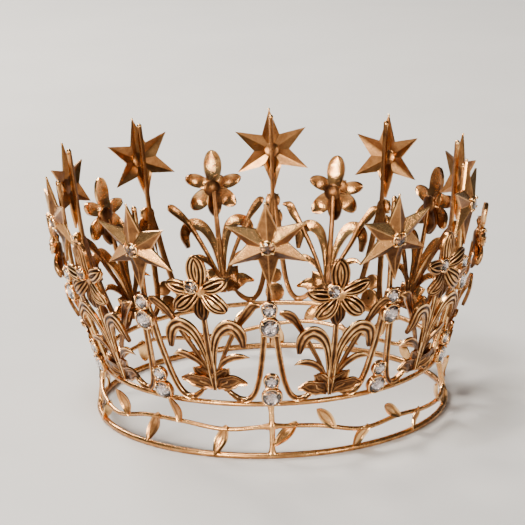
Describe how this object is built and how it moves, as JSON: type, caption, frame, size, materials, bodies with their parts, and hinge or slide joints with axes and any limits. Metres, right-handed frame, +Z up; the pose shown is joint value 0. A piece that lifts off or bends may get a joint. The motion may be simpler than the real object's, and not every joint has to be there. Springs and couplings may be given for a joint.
{
  "type": "bridal crown",
  "caption": "Full-round tiara crown: flared openwork of star posts and lilies with round stones, soldered on two wire rings joined by struts and a leafy vine wire.",
  "frame": {"origin": "middle of the lower ring, on the surface that the crown stands on", "axes": "+Z up along the crown's axis, the front post is at -Y, +X is the wearer's left side"},
  "size_m": [0.1761, 0.1786, 0.1059],
  "materials": {
    "ring_wire": "drawn brass wire, antiqued gold, hand-soldered joints",
    "leaf_sheet": "thin stamped leaf, antiqued gold with a bright rolled edge",
    "post_brass": "cast brass with a V groove, bright edges and a brown patina in the groove",
    "star_brass": "cast and ridged, satin warm gold, finely scratched",
    "lily_brass": "cast brass, bright raised lines over a dark brown patina in the grooves",
    "cup_brass": "turned cup settings with small prongs, polished rim",
    "rhinestone": "clear faceted glass stone with a foiled back"
  },
  "bodies": {
    "root": {"base_ring": "ring_wire", "upper_ring": "ring_wire", "strut_front": "ring_wire", "strut_right": "ring_wire", "strut_back": "ring_wire", "strut_left": "ring_wire", "vine_front_right": "ring_wire", "vine_back_right": "ring_wire", "vine_back_left": "ring_wire", "vine_front_left": "ring_wire", "vine_leaves_up": "leaf_sheet", "vine_leaves_down": "leaf_sheet", "star_post_1": "post_brass", "star_post_2": "post_brass", "star_post_3": "post_brass", "star_post_4": "post_brass", "star_post_5": "post_brass", "star_post_6": "post_brass", "star_post_7": "post_brass", "star_post_8": "post_brass", "star_post_9": "post_brass", "star_post_10": "post_brass", "star_1": "star_brass", "star_2": "star_brass", "star_3": "star_brass", "star_4": "star_brass", "star_5": "star_brass", "star_6": "star_brass", "star_7": "star_brass", "star_8": "star_brass", "star_9": "star_brass", "star_10": "star_brass", "lily_plant_1": "lily_brass", "lily_plant_2": "lily_brass", "lily_plant_3": "lily_brass", "lily_plant_4": "lily_brass", "lily_plant_5": "lily_brass", "lily_plant_6": "lily_brass", "lily_plant_7": "lily_brass", "lily_plant_8": "lily_brass", "lily_plant_9": "lily_brass", "lily_plant_10": "lily_brass", "lily_flower_1": "lily_brass", "lily_flower_2": "lily_brass", "lily_flower_3": "lily_brass", "lily_flower_4": "lily_brass", "lily_flower_5": "lily_brass", "lily_flower_6": "lily_brass", "lily_flower_7": "lily_brass", "lily_flower_8": "lily_brass", "lily_flower_9": "lily_brass", "lily_flower_10": "lily_brass", "large_post_cups": "cup_brass", "small_post_cups": "cup_brass", "star_cups": "cup_brass", "lily_cups": "cup_brass", "large_post_stones": "rhinestone", "small_post_stones": "rhinestone", "star_stones": "rhinestone", "lily_stones": "rhinestone"}
  },
  "joints": []
}
